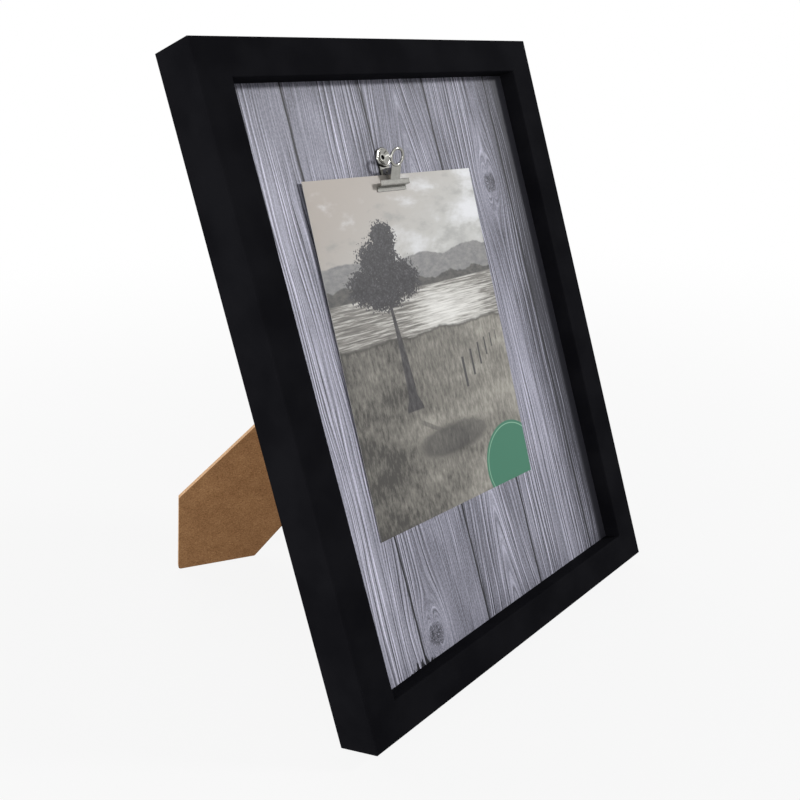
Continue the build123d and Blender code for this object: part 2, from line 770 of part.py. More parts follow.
def coil_point(angle):
    """The wire's middle at this angle round the pin, and the way that it runs there."""
    along_pin = (angle - coil_start) * coil_rise - coil_length / 2
    place = Vector(spring_mid_radius * cos(angle), spring_mid_radius * sin(angle), along_pin)
    way = Vector(-spring_mid_radius * sin(angle), spring_mid_radius * cos(angle), coil_rise)
    start = pivot_side.from_local_coords(place)
    return start, (pivot_side.from_local_coords(place + way) - start).normalized()


def arc_pair(first, first_way, last, last_way):
    """The point and the way where two equal-tangent arcs between these ends meet."""
    span = last - first
    ways = first_way + last_way
    spread = 2 * (1 - first_way.dot(last_way))
    reach = (((span.dot(ways)) ** 2 + spread * span.dot(span)) ** 0.5 - span.dot(ways)) / spread
    from_first = first + first_way * reach
    from_last = last - last_way * reach
    return (from_first + from_last) * 0.5, (from_last - from_first).normalized()


coil_step = (coil_end - coil_start) / spring_arc_pairs
with BuildPart() as clip_spring:
    with BuildLine() as wire:
        first, first_way = coil_point(coil_start)
        Line(first - first_way * rear_leg_length, first)
        for number in range(1, spring_arc_pairs + 1):
            last, last_way = coil_point(coil_start + number * coil_step)
            joint, joint_way = arc_pair(first, first_way, last, last_way)
            TangentArc(first, joint, tangent=first_way)
            TangentArc(joint, last, tangent=joint_way)
            first, first_way = last, last_way
        Line(first, first + first_way * front_leg_length)
    with BuildSketch(Plane(origin=wire.wires()[0] @ 0, z_dir=wire.wires()[0] % 0)):
        Circle(spring_wire_radius)
    sweep(path=wire.wires()[0])
clip_spring.part.label = "clip_spring"
export_step(clip_spring.part, "parts/clip_spring.step")

# Eyelet: a dished flange over the rear ring, a barrel through the board and a rolled tail
stack = print_thickness + board_thickness + washer_thickness
with BuildPart() as clip_rivet:
    with BuildSketch(clip_side):
        with BuildLine():
            Polyline(
                (-stack - eyelet_sheet, eyelet_bore_radius),
                (-stack - eyelet_sheet, eyelet_tail_radius),
                (-stack, eyelet_tail_radius),
                (-stack, eyelet_barrel_radius),
                (eyelet_dish_height, eyelet_barrel_radius),
                (eyelet_flange_height, eyelet_flange_radius),
                (eyelet_flange_height + eyelet_sheet, eyelet_flange_radius),
                (eyelet_dish_height + eyelet_sheet, eyelet_barrel_radius),
                (eyelet_dish_height + eyelet_sheet, eyelet_bore_radius),
                close=True,
            )
        make_face()
    revolve(axis=Axis(clip_face.origin, front))
clip_rivet.part.label = "clip_rivet"
export_step(clip_rivet.part, "parts/clip_rivet.step")

with BuildPart() as rivet_washer:
    with BuildSketch(clip_face.offset(-stack)):
        Circle(washer_radius)
        Circle(eyelet_barrel_radius, mode=Mode.SUBTRACT)
    extrude(amount=washer_thickness)
rivet_washer.part.label = "rivet_washer"
export_step(rivet_washer.part, "parts/rivet_washer.step")

# Photo card: it hangs square in the swung clip and leans back to the print below it
grip_drop = (jaw_bottom_drop + step_drop) / 2
grip_point = clip_face.from_local_coords(Vector(0, -grip_drop, rear_jaw_reach + card_grip_gap))
tipping = radians(card_tip)
card_facing = front * cos(tipping) - clip_up * sin(tipping)
card_back = Plane(origin=grip_point, x_dir=clip_across, z_dir=card_facing)
with BuildPart() as photo_card:
    with BuildSketch(card_back):
        with Locations((card_side_offset, card_bite - card_height / 2)):
            Rectangle(card_width, card_height)
    extrude(amount=card_thickness)
photo_card.part.label = "photo_card"
export_step(photo_card.part, "parts/photo_card.step")

# What was worked out
wire_points = [wire.wires()[0] @ (number / 400) for number in range(401)]
wire_gaps = []
for one in range(401):
    for other in range(one + 30, 401):
        wire_gaps.append((wire_points[one] - wire_points[other]).length - 2 * spring_wire_radius)
print(f"lean {degrees(lean):.2f} degrees, on its side {degrees(side_lean):.2f} degrees")
print(f"hinge at {hinge_x:.1f} across and {hinge_v:.1f} up the back")
print(f"least gap between the spring's turns {min(wire_gaps):.2f} mm")
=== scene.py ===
# %% [markdown]
# # A clip frame, dressed in Blender
# The object is a black picture frame without glass. Behind its deep recess lies a board with a
# printed plank pattern, and a ring-handled metal clip on the board holds a photo card. A folding
# fibreboard leg stands it on a table. The pieces come from a finished engineering model, which
# this script loads with the joints that they move on. So this lesson is about looks: camera,
# light and one procedural material for each real finish.

# %% Load the pieces
import json
import math

import bmesh
import bpy
from mathutils import Matrix, Vector


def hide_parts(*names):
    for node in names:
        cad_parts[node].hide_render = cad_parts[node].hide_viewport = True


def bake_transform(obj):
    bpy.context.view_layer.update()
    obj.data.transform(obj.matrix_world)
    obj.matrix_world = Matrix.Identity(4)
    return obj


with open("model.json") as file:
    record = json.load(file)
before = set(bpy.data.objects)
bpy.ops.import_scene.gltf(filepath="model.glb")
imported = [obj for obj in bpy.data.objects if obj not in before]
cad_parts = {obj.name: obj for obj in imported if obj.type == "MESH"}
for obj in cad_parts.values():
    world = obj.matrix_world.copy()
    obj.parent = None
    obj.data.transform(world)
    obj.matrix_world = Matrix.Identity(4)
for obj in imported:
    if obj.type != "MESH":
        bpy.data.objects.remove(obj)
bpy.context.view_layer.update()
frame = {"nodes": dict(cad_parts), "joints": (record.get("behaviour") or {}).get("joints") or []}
nodes = frame["nodes"]

# %% [markdown]
# ## Directions on a leaning frame
# The frame stands with a lean, so the table's axes don't suit it. A maker measures along the
# frame: across, up the face, and in from the front. The turn buttons swing about an axis that is
# square to the back, so that joint gives the way in, and the rest follows from it. Every material
# below reads its place in these three directions, and so a pattern sits on the piece and not on
# the room.

# %% Find the frame's own directions


def joint(name):
    """One of the frame's joints, by its name."""
    return next(found for found in frame["joints"] if found["name"] == name)


across = Vector((1, 0, 0))
inwards = Vector(joint("turn_button_1_turn")["axis"]).normalized()
upwards = across.cross(inwards)
lean = math.degrees(math.acos(upwards.z))
print(f"the frame leans back {lean:.1f} degrees")

# %% [markdown]
# ## The middle of the front face
# Each piece's mesh already lies where the piece is, so its corners say where the frame begins and
# ends along a direction. The four rails give the middle of the front face. From here on a place
# is written in millimetres from that point, because that is how a frame is measured on a bench.

# %% Measure the rails
MM = 0.001


def extent(names, way):
    """The lowest and highest place of some nodes along a direction."""
    places = [vertex.co.dot(way) for name in names for vertex in nodes[name].data.vertices]
    return min(places), max(places)


def on_frame(x, v, depth):
    """A point x across, v up and depth in from the middle of the front face, in millimetres."""
    return face_middle + (across * x + upwards * v + inwards * depth) * MM


rails = ["left_rail", "right_rail", "top_rail", "bottom_rail"]
low_across, high_across = extent(rails, across)
low_up, high_up = extent(rails, upwards)
front_depth, back_depth = extent(rails, inwards)
face_middle = upwards * ((low_up + high_up) / 2) + inwards * front_depth
print(f"frame {(high_across - low_across) / MM:.1f} mm wide, {(high_up - low_up) / MM:.1f} mm high")
print(f"frame {(back_depth - front_depth) / MM:.1f} mm deep")

# %% [markdown]
# ## The camera
# The view is from the left and a little above the middle of the frame, from half a metre away.
# Its lens and place were worked out from the corners of the frame and the card. The focal length
# is in pixels of the picture, and the sensor's width turns it into a lens in millimetres. A camera
# can be aimed by a constraint, but three plain turns say more: how far round, how far down, and a
# slight roll. The shift moves the picture in its frame without turning the camera.

# %% Place the camera
SENSOR_MM = 36.0
PICTURE_PX = 800.0
FOCAL_PX = 974.65
CENTRE_PX = (449.86, 366.09)
CAMERA_PLACE = (-391.92, 49.36, -339.61)
CAMERA_ROUND = math.radians(-51.115)
CAMERA_DOWN = math.radians(17.876)
CAMERA_ROLL = math.radians(0.137)
NEAREST_SEEN = 0.01
FARTHEST_SEEN = 50

camera_data = bpy.data.cameras.new("camera")
camera_data.sensor_width = SENSOR_MM
camera_data.lens = FOCAL_PX / PICTURE_PX * SENSOR_MM
camera_data.shift_x = (PICTURE_PX / 2 - CENTRE_PX[0]) / PICTURE_PX
camera_data.shift_y = (CENTRE_PX[1] - PICTURE_PX / 2) / PICTURE_PX
camera_data.clip_start = NEAREST_SEEN
camera_data.clip_end = FARTHEST_SEEN
camera = bpy.data.objects.new("camera", camera_data)
camera.location = on_frame(*CAMERA_PLACE)
turns = (
    Matrix.Rotation(CAMERA_ROUND, 3, "Z")
    @ Matrix.Rotation(math.pi / 2 - CAMERA_DOWN, 3, "X")
    @ Matrix.Rotation(CAMERA_ROLL, 3, "Z")
)
camera.rotation_euler = turns.to_euler()
bpy.context.scene.collection.objects.link(camera)
bpy.context.scene.camera = camera
print(f"lens {camera_data.lens:.1f} mm")

# %% [markdown]
# ## Colours
# A person picks a colour from a screen and writes it as #rrggbb, but a shader reckons in amounts
# of light, and a screen's middle grey is only a fifth of full light. Typed in unchanged, every
# colour would come out too pale, so one function turns the first kind of number into the second.

# %% Turn a screen's colour into light


def as_light(share):
    """A screen's value from 0 to 1 as an amount of light: a curve with a short straight foot."""
    return share / 12.92 if share <= 0.04045 else ((share + 0.055) / 1.055) ** 2.4


def colour(code):
    """A colour written as #rrggbb in amounts of light, with full cover."""
    return tuple(as_light(int(code[i : i + 2], 16) / 255) for i in (1, 3, 5)) + (1,)


print(f"middle grey #808080 is {colour('#808080')[0]:.2f} of full light")

# %% [markdown]
# ## Numbers that change over a surface
# A procedural material is a sum: noise plus lines, times a mask, through a colour ramp. Drawn as
# nodes that is a large tangle, so a few small classes write it instead. A Field is a number that
# changes over the surface, which is the output of one node. The signs + - * / on it add a Math
# node, and two methods make the masks that most patterns need: a rise and a peak.

# %% A class for numbers over a surface


class Field:
    """A number that changes over a surface: one output of a node."""

    def __init__(self, finish, socket):
        self.finish = finish
        self.socket = socket

    def maths(self, operation, *others):
        """This number put through a Math node with other numbers."""
        made = self.finish.add("ShaderNodeMath", operation=operation)
        for socket, value in zip(made.inputs, (self, *others)):
            self.finish.join(value, socket)
        return Field(self.finish, made.outputs[0])

    def __add__(self, other):
        return self.maths("ADD", other)

    def __sub__(self, other):
        return self.maths("SUBTRACT", other)

    def __mul__(self, other):
        return self.maths("MULTIPLY", other)

    def __truediv__(self, other):
        return self.maths("DIVIDE", other)

    def most(self, other):
        """The larger of this number and another."""
        return self.maths("MAXIMUM", other)

    def size(self):
        """This number without its sign."""
        return self.maths("ABSOLUTE")

    def root(self):
        """The square root of this number."""
        return self.maths("SQRT")

    def rise(self, start, end):
        """Nought up to start, one from end on, and a smooth step between."""
        made = self.finish.add("ShaderNodeMapRange", interpolation_type="SMOOTHSTEP")
        for socket, value in zip(made.inputs, (self, start, end, 0, 1)):
            self.finish.join(value, socket)
        return Field(self.finish, made.outputs[0])

    def near(self, middle, reach):
        """A peak: one at the middle, and nought from reach away on."""
        return (self - middle).size().rise(reach, 0)


print("a field can do:", ", ".join(name for name in vars(Field) if not name.startswith("_")))

# %% [markdown]
# ## A material as nodes and links
# Blender keeps a material as a tree of nodes whose sockets are linked. The first class holds that
# tree. It adds a node and feeds its inputs, whether with a plain value or with a field, so that
# no recipe has to say which. Patterns and colours are built on it in two further layers.

# %% A class for the node tree


class Recipe:
    """The node tree of one material, with its principled shader."""

    def __init__(self, name, **constants):
        self.material = bpy.data.materials.new(name)
        self.material.use_nodes = True
        self.tree = self.material.node_tree
        self.shader = self.tree.nodes["Principled BSDF"]
        for key, value in constants.items():
            self.shader.inputs[key.replace("_", " ")].default_value = value

    def add(self, kind, inputs=None, **settings):
        """A new node, with its settings and inputs."""
        made = self.tree.nodes.new(kind)
        for key, value in settings.items():
            setattr(made, key, value)
        for key, value in (inputs or {}).items():
            self.join(value, made.inputs[key])
        return made

    def join(self, value, socket):
        """Links a field or a socket, or types a plain value in."""
        if isinstance(value, Field):
            self.tree.links.new(value.socket, socket)
        elif isinstance(value, bpy.types.NodeSocket):
            self.tree.links.new(value, socket)
        else:
            socket.default_value = value


print("a recipe can do:", ", ".join(name for name in vars(Recipe) if not name.startswith("_")))

# %% [markdown]
# ## Places and patterns
# A pattern has to be drawn at a place. A flat layout of each mesh would do for one sheet, but
# these pieces have many sides, and so the place is the distance from a fixed point along the
# frame's own directions, read in the piece's own space. That way it stays with the piece when a
# joint moves. Noise and scattered points then turn a place into a pattern.

# %% A class that adds patterns


class Patterns(Recipe):
    """A recipe that knows places on a piece and patterns over them."""

    def place(self, origin, *ways):
        """The distance from origin along each way, in millimetres, read on the piece itself."""
        coords = self.add("ShaderNodeTexCoord").outputs["Object"]
        offset = self.add("ShaderNodeVectorMath", {0: coords, 1: origin}, operation="SUBTRACT")
        found = []
        for way in ways:
            inputs = {0: offset.outputs[0], 1: way / MM}
            dot = self.add("ShaderNodeVectorMath", inputs, operation="DOT_PRODUCT")
            found.append(Field(self, dot.outputs["Value"]))
        return found

    def facing(self, way):
        """How far the surface faces a way: one straight at it, minus one away from it."""
        normal = self.add("ShaderNodeTexCoord").outputs["Normal"]
        inputs = {0: normal, 1: way}
        dot = self.add("ShaderNodeVectorMath", inputs, operation="DOT_PRODUCT")
        return Field(self, dot.outputs["Value"])

    def vector(self, x=0, y=0, z=0):
        """Three numbers as one vector."""
        return self.add("ShaderNodeCombineXYZ", {0: x, 1: y, 2: z}).outputs[0]

    def noise(self, place, scale=1, detail=2, roughness=0.5, distortion=0):
        """Soft random cloudiness from 0 to 1, with one lump about each 1/scale."""
        inputs = {
            "Vector": place,
            "Scale": scale,
            "Detail": detail,
            "Roughness": roughness,
            "Distortion": distortion,
        }
        return Field(self, self.add("ShaderNodeTexNoise", inputs).outputs[0])

    def specks(self, place, scale=1):
        """The distance to the nearest of many scattered points."""
        inputs = {"Vector": place, "Scale": scale}
        return Field(self, self.add("ShaderNodeTexVoronoi", inputs).outputs["Distance"])


print("patterns:", ", ".join(name for name in vars(Patterns) if not name.startswith("_")))

# %% [markdown]
# ## Paint and relief
# Last come the colours: two mixed by a mask, or several on a ramp. One principled shader serves
# every finish here, because film, paper, board, rubber and metal differ only in their colour,
# roughness, metal share and relief. The relief is a bump and not moved geometry, since these
# textures are hundredths of a millimetre deep.

# %% A class for the whole finish


class Finish(Patterns):
    """One procedural material, from its colours to the nodes that wear it."""

    def mix(self, share, first, second):
        """The first colour where share is nought, and the second where it is one."""
        inputs = {0: share, 6: first, 7: second}
        return self.add("ShaderNodeMix", inputs, data_type="RGBA").outputs[2]

    def shades(self, value, *stops):
        """A colour ramp: value picks a colour among stops of (place, colour)."""
        made = self.add("ShaderNodeValToRGB", {0: value})
        ramp = made.color_ramp
        while len(ramp.elements) < len(stops):
            ramp.elements.new(0.5)
        for element, (place, code) in zip(ramp.elements, stops):
            element.position = place
            element.color = colour(code)
        return made.outputs[0]

    def paint(self, colour_socket, relief, relief_mm, roughness=None):
        """Joins what was mixed to the shader. Relief is a height from 0 to 1."""
        self.join(colour_socket, self.shader.inputs["Base Color"])
        if roughness is not None:
            self.join(roughness, self.shader.inputs["Roughness"])
        inputs = {"Height": relief, "Distance": relief_mm * MM, "Strength": 1}
        bump = self.add("ShaderNodeBump", inputs)
        self.join(bump.outputs[0], self.shader.inputs["Normal"])

    def dress(self, *names):
        """Gives this finish to nodes of the frame."""
        for name in names:
            materials = nodes[name].data.materials
            materials.clear()
            materials.append(self.material)
        print(f"{self.material.name}: {', '.join(names) or 'no piece yet'}")


print("a finish adds:", ", ".join(name for name in vars(Finish) if not name.startswith("_")))

# %% [markdown]
# ## Black moulding
# The four rails are mouldings wrapped in a satin black film. It is nearly even: the film shows a
# very fine tooth and a faint cloudiness where it was pressed on harder. One flat black would look
# like a hole in the picture, so both show a little, in the colour and in the roughness. Black
# needs little reflection, or a pale room would turn it grey, so the specular level is very low.

# %% Finish of the rails
SATIN = 0.56
UNEVEN = 0.1

black = Finish("frame_black", Specular_IOR_Level=0.006)
x, v, d = black.place(face_middle, across, upwards, inwards)
tooth = black.noise(black.vector(x, v, d), scale=2.6, detail=3, roughness=0.6)
cloud = black.noise(black.vector(x, v, d), scale=0.035, detail=3)
black.paint(
    black.mix(cloud.rise(0.3, 0.7), colour("#0f0f12"), colour("#161619")),
    roughness=cloud * UNEVEN + tooth * UNEVEN + SATIN,
    relief=tooth,
    relief_mm=0.02,
)
black.dress(*rails)

# %% [markdown]
# ## Printed planks: the gaps
# The board carries a printed sheet of weathered planks. A picture file could be laid on it, but a
# pattern worked out from the place is sharp at any distance and needs no file. The dark gaps
# between the planks come first, each wandering a little. Counting the gaps to the left gives each
# plank a number, and the number goes into the noise below, so that no line of the grain runs on
# from one plank into the next.

# %% Gaps between the planks
PLANK_GAPS = (-71.0, -18.0, 32.0, 87.5)
GAP_WANDER = 0.9
GAP_HALF_WIDTH = 1.1
GAP_SHADE_MIDDLE = 0.5
GAP_SHADE_HALF_WIDTH = 1.9
PLANK_STEP = 0.05

planks = Finish("print_paper", Specular_IOR_Level=0.3)
x, v = planks.place(face_middle, across, upwards)
plank_number = x * 0
gap = x * 0
gap_shade = x * 0
for edge in PLANK_GAPS:
    swing = planks.noise(planks.vector(edge, v), scale=0.05, detail=2)
    wander = swing * GAP_WANDER - GAP_WANDER / 2
    from_gap = x - edge - wander
    plank_number = plank_number + from_gap.rise(-PLANK_STEP, PLANK_STEP)
    gap = gap.most(from_gap.near(0, GAP_HALF_WIDTH))
    gap_shade = gap_shade.most(from_gap.near(GAP_SHADE_MIDDLE, GAP_SHADE_HALF_WIDTH))
print(f"{len(PLANK_GAPS) + 1} planks")

# %% [markdown]
# ## Printed planks: the run of the grain
# Grain could be drawn with the wave texture, but its lines come out even, like marble. Here the
# distance across the board is bent first, and whatever is drawn on the bent distance follows the
# grain. Two slow noises bend it, a wide one and a narrower one. Both are stretched along the
# plank, because wood changes slowly that way.

# %% Let the grain wander
WIDE_BEND = 14
NARROW_BEND = 2.4


def plank_place(often_across, often_along, seed):
    """A place for noise: how often it changes each way, and a seed that sets the planks apart."""
    return planks.vector(x * often_across, v * often_along, plank_number * seed)


slow = planks.noise(plank_place(0.02, 0.005, seed=7.3), detail=2) - 0.5
quicker = planks.noise(plank_place(0.1, 0.018, seed=3.1), detail=2) - 0.5
contour = x + slow * WIDE_BEND + quicker * NARROW_BEND
print(f"the grain wanders up to about {(WIDE_BEND + NARROW_BEND) / 2:.0f} mm")

# %% [markdown]
# ## Printed planks: knots
# In a growing trunk the grain flows round a branch as water flows round a stone. So the distance
# across is pushed aside beside a knot, less and less further out, and the push reaches further
# along the plank than across it. The wood beside a knot and in a long flank above it is smooth,
# and a mask of calm remembers where, so that the ridges drawn later stay low there.

# %% Push the grain round two knots
KNOTS = ((71.6, 84.9, 5.5), (-59.4, -136.5, 6.0))
ALONG_SHARE = 0.4
PUSH_SHARE = 1.6
PUSH_SOFTNESS = 9
CALM_START_SHARE = 2.6
CALM_FULL_SHARE = 1.3
FLANK_WIDTH_SHARE = 1.5
FLANK_BELOW = (16, 4)
FLANK_ABOVE = (75, 22)

calm = x * 0
for knot_x, knot_v, reach in KNOTS:
    beside = x - knot_x
    along = (v - knot_v) * ALONG_SHARE
    far = beside * beside + along * along
    contour = contour - beside * (reach * reach * PUSH_SHARE) / (far + PUSH_SOFTNESS)
    calm = calm.most(far.root().rise(reach * CALM_START_SHARE, reach * CALM_FULL_SHARE))
    flank = (beside / (reach * FLANK_WIDTH_SHARE)).near(0, 1)
    flank = flank * v.rise(knot_v - FLANK_BELOW[0], knot_v - FLANK_BELOW[1])
    calm = calm.most(flank * v.rise(knot_v + FLANK_ABOVE[0], knot_v + FLANK_ABOVE[1]))
print(f"{len(KNOTS)} knots")

# %% [markdown]
# ## Printed planks: arches in the middle plank
# A plank sawn from the side of a trunk shows its rings as tall arches, one inside the other.
# Folding the distance about a middle line gives the two legs of each arch, a rounded fold gives
# its top, and a little height added to it makes the legs part further down. The fold ends at the
# plank's own gaps, where a jump in the pattern can't be seen.

# %% Fold the grain of one plank
ARCHED_PLANK = 2
ARCH_MIDDLE = 6.0
ARCH_ROUND = 2.5
ARCH_SLOPE = 0.12
ARCH_CALM_WIDTH = 6
ARCH_CALM = 0.7

arch_beside = contour - ARCH_MIDDLE
arches = (arch_beside * arch_beside + ARCH_ROUND * ARCH_ROUND).root() + v * ARCH_SLOPE
arched = plank_number.near(ARCHED_PLANK, 0.5)
contour = contour + (arches - contour) * arched
calm = calm.most(arch_beside.near(0, ARCH_CALM_WIDTH) * arched * ARCH_CALM)
print(f"plank {ARCHED_PLANK} of {len(PLANK_GAPS) + 1} has arches, counted from nought")

# %% [markdown]
# ## Printed planks: ridges
# Weather eats the soft wood and leaves the hard rings standing as pale ridges, each with a dark
# line on its shaded side. One noise read in thin bands gives both: a band around its middle value
# is a line that neither starts nor ends, and the same noise read half a millimetre further on is
# the shadow beside it. Broad ridges come over fine ones, and a mask of strength varies them from
# place to place and quiets them where the wood is calm.

# %% Draw the ridges
DARK_LINE_SHARE = 0.85
CALMED_SHARE = 0.85


def raised_lines(spacing, thinness, shift, seed):
    """Pale lines along the grain, about spacing apart, less the dark line beside each."""
    found = []
    for offset in (0, shift):
        place = planks.vector((contour + offset) / spacing, v * 0.0035, plank_number * seed)
        found.append(planks.noise(place, detail=1, roughness=0.35).near(0.5, thinness))
    return found[0] - found[1] * DARK_LINE_SHARE


broad = raised_lines(spacing=2.7, thinness=0.075, shift=0.75, seed=5.7)
narrow = raised_lines(spacing=1.15, thinness=0.08, shift=0.4, seed=2.9)
strength = planks.noise(plank_place(0.05, 0.011, seed=4.4), detail=2).rise(0.34, 0.6)
strength = strength * (calm * -CALMED_SHARE + 1)
ridges = broad * (strength * 0.32 + 0.1) + narrow * (strength * 0.15 + 0.05)
print(f"{len(planks.tree.nodes)} nodes so far")

# %% [markdown]
# ## Printed planks: tone
# Between the ridges the wood is speckled like worn paint, streaked along the grain, and lighter
# or darker in large patches. These are three more noises, of which only the streaks follow the
# bent distance. On top of the print comes painted shadow: a broad, soft one of the right rail
# towards the right side, a darker one close to that rail, and faint painted shade under the top
# rail. The tone is also raised down the left plank.

# %% Add speckle, streaks and painted shadow
MIDDLE_TONE = 0.36
SPECKLE = 0.74
STREAKS = 0.66
PATCHES = 0.6
CALM_PALER = 0.1
GAP_DARKER = 0.1
RIGHT_PAINTED_SHADOW = 0.38
RIGHT_EDGE_PAINTED_SHADOW = 0.46
TOP_PAINTED_SHADE = 0.06
LEFT_PALER = 0.19

worn_place = planks.vector(x + v * 0.37, v * 0.5 - x * 0.21)
speckle = planks.noise(worn_place, scale=1.3, detail=4, roughness=0.75) - 0.5
streak = planks.noise(planks.vector(contour * 1.7, v * 0.05), detail=3, roughness=0.65) - 0.5
patch = planks.noise(plank_place(0.035, 0.012, seed=6.2), detail=3) - 0.5
tone = ridges + speckle * SPECKLE + streak * STREAKS + patch * PATCHES
tone = tone + calm * CALM_PALER + MIDDLE_TONE - gap_shade * GAP_DARKER
# painted shadow of the right rail: broad and soft, then darker close to the rail
tone = tone - x.rise(58, 106) * RIGHT_PAINTED_SHADOW - x.rise(93, 103) * RIGHT_EDGE_PAINTED_SHADOW
# painted shade under the top rail
tone = tone - v.rise(132, 150) * TOP_PAINTED_SHADE
tone = tone + x.rise(-58, -90) * v.rise(128, 88) * LEFT_PALER
print(f"middle tone {MIDDLE_TONE}, darker by {RIGHT_PAINTED_SHADOW + RIGHT_EDGE_PAINTED_SHADOW:.2f} at the right")

# %% [markdown]
# ## Printed planks: hearts of the knots
# A knot's heart is a tangle of cracks. Strongly distorted noise, read in a thin band, gives such
# a squiggle, and a soft oval keeps it inside the knot. A second band beside it adds a few pale
# chips of wood.

# %% Crack the knots
HEART_LENGTH_SHARE = 1.1
TANGLE = 2.2
CRACK_DARKER = 0.55
HEART_DARKER = 0.1
CHIP_PALER = 0.2

for knot_x, knot_v, reach in KNOTS:
    beside = (x - knot_x) / reach
    along = (v - knot_v) / (reach * HEART_LENGTH_SHARE)
    heart = (beside * beside + along * along).rise(1.3, 0.1)
    spot = planks.vector(beside * TANGLE, along * TANGLE, knot_x)
    squiggle = planks.noise(spot, detail=5, roughness=0.75, distortion=TANGLE)
    tone = tone - heart * (squiggle.near(0.5, 0.06) * CRACK_DARKER + HEART_DARKER)
    tone = tone + heart * squiggle.near(0.62, 0.04) * CHIP_PALER
print(f"{len(planks.tree.nodes)} nodes so far")

# %% [markdown]
# ## Printed planks: the colours
# The tone picks a bluish grey from a ramp, and the gaps are laid over it nearly black. At the
# foot the printed planks end in the same dark, which reaches up a few ragged millimetres in the
# lower left corner. The paper itself is flat, with the slightest tooth.

# %% Colour the planks
PRINT_FOOT = 147.4
BROKEN_MIDDLE = -73
BROKEN_HALF_WIDTH = 13
BROKEN_HEIGHT = 6
PAPER_ROUGHNESS = 0.55

broken = planks.noise(planks.vector(x * 0.55, 3), detail=3).rise(0.42, 0.62)
broken = broken * x.near(BROKEN_MIDDLE, BROKEN_HALF_WIDTH) * BROKEN_HEIGHT
gap = gap.most((v + PRINT_FOOT - broken).rise(0.4, -0.4))
printed = planks.shades(
    tone,
    (0.0, "#34343b"),
    (0.25, "#6a6a75"),
    (0.5, "#9b9ba9"),
    (0.75, "#c4c3d4"),
    (1.0, "#e9e7f8"),
)
planks.paint(
    planks.mix(gap.rise(0.15, 0.75), printed, colour("#1d1d21")),
    roughness=speckle * 0.15 + PAPER_ROUGHNESS,
    relief=speckle,
    relief_mm=0.012,
)
planks.dress("plank_print")

# %% [markdown]
# ## Fibreboard
# Display board, spacers, back panel and leg are cut from pressed fibreboard. Its face is brown
# and closely speckled with short fibres, and the sawn edge is paler and fuzzy. Two materials on
# chosen faces would do, but one material that looks at where the surface points needs no choosing
# and works at every pose, because the direction is the piece's own. The leg stands at a slant,
# so the way that its broad face looks is measured from its faces.

# %% Finish of the fibreboard pieces
FACE_BROWNS = ((0.1, "#74502f"), (0.5, "#98704a"), (0.95, "#b98f63"))
EDGE_TANS = ((0.1, "#b48d68"), (0.5, "#d3aa82"), (0.95, "#e6c39c"))


def widest_facing(name):
    """The way that the largest flat faces of a node look, towards the front."""
    sums = {}
    for polygon in nodes[name].data.polygons:
        way = polygon.normal if polygon.normal.dot(inwards) < 0 else -polygon.normal
        key = tuple(round(part, 2) for part in way)
        sums[key] = sums.get(key, Vector((0, 0, 0))) + way * polygon.area
    return max(sums.values(), key=lambda total: total.length).normalized()


def fibreboard(name, face_way, *names):
    """Speckled board: faces point along face_way, and whatever doesn't is a sawn edge."""
    board = Finish(name, Specular_IOR_Level=0.25)
    x, v, d = board.place(face_middle, across, upwards, inwards)
    spot = board.vector(x, v, d)
    fibres = board.noise(spot, scale=1.1, detail=5, roughness=0.7, distortion=0.6)
    lumps = board.noise(spot, scale=0.12, detail=3)
    dark_specks = board.specks(spot, scale=0.55).rise(0.2, 0.06)
    tone = (fibres - 0.5) * 2.0 + (lumps - 0.5) * 0.5 - dark_specks * 0.3 + 0.5
    edge = board.facing(face_way).size().rise(0.8, 0.5)
    board.paint(
        board.mix(edge, board.shades(tone, *FACE_BROWNS), board.shades(tone, *EDGE_TANS)),
        roughness=fibres * 0.2 + 0.6,
        relief=fibres * (edge * 2 + 1),
        relief_mm=0.05,
    )
    board.dress(*names)


spacers = ["left_spacer", "right_spacer", "top_spacer", "bottom_spacer"]
fibreboard("leg_board", widest_facing("easel_leg"), "easel_leg")
fibreboard("fibreboard", inwards, "display_board", "back_panel", *spacers)

# %% [markdown]
# ## Plated metals
# The clip is nickel plated, its spring is bare steel wire, and the hinge, hangers, buttons and
# screws are zinc plated. All are mirrors, blurred by fine scratches, so one recipe makes them
# with other greys and another roughness: nickel is the brightest and zinc the dullest. Small
# corners get painted shade, nearly black. Ambient occlusion finds such corners, since a point
# there sees little of what lies around it, and the colour is darkened there.

# %% Finishes of the metal pieces
CORNER_REACH = 1.4 * MM
CORNER_PAINTED_SHADE = "#26262a"
SCRATCH_ROUGHNESS = 0.06


def metal(name, pieces, dark, light, roughness):
    """Sheet or wire with fine scratches and painted shade in its corners, on some pieces."""
    plate = Finish(name, Metallic=1.0)
    x, v, d = plate.place(face_middle, across, upwards, inwards)
    scratch = plate.noise(plate.vector(x * 0.4, v * 6, d * 6), detail=3)
    cloud = plate.noise(plate.vector(x, v, d), scale=0.5, detail=3)
    # painted shade: ambient occlusion picks out corners, and the colour is darkened there
    around = plate.add("ShaderNodeAmbientOcclusion", {"Distance": CORNER_REACH}, samples=8)
    unshaded_share = Field(plate, around.outputs["AO"]).rise(0.1, 0.6)
    worn = plate.mix(cloud * 0.6 + scratch * 0.4, colour(dark), colour(light))
    plate.paint(
        plate.mix(unshaded_share, colour(CORNER_PAINTED_SHADE), worn),
        roughness=cloud * SCRATCH_ROUGHNESS + scratch * SCRATCH_ROUGHNESS + roughness,
        relief=scratch,
        relief_mm=0.01,
    )
    plate.dress(*pieces)
    return plate


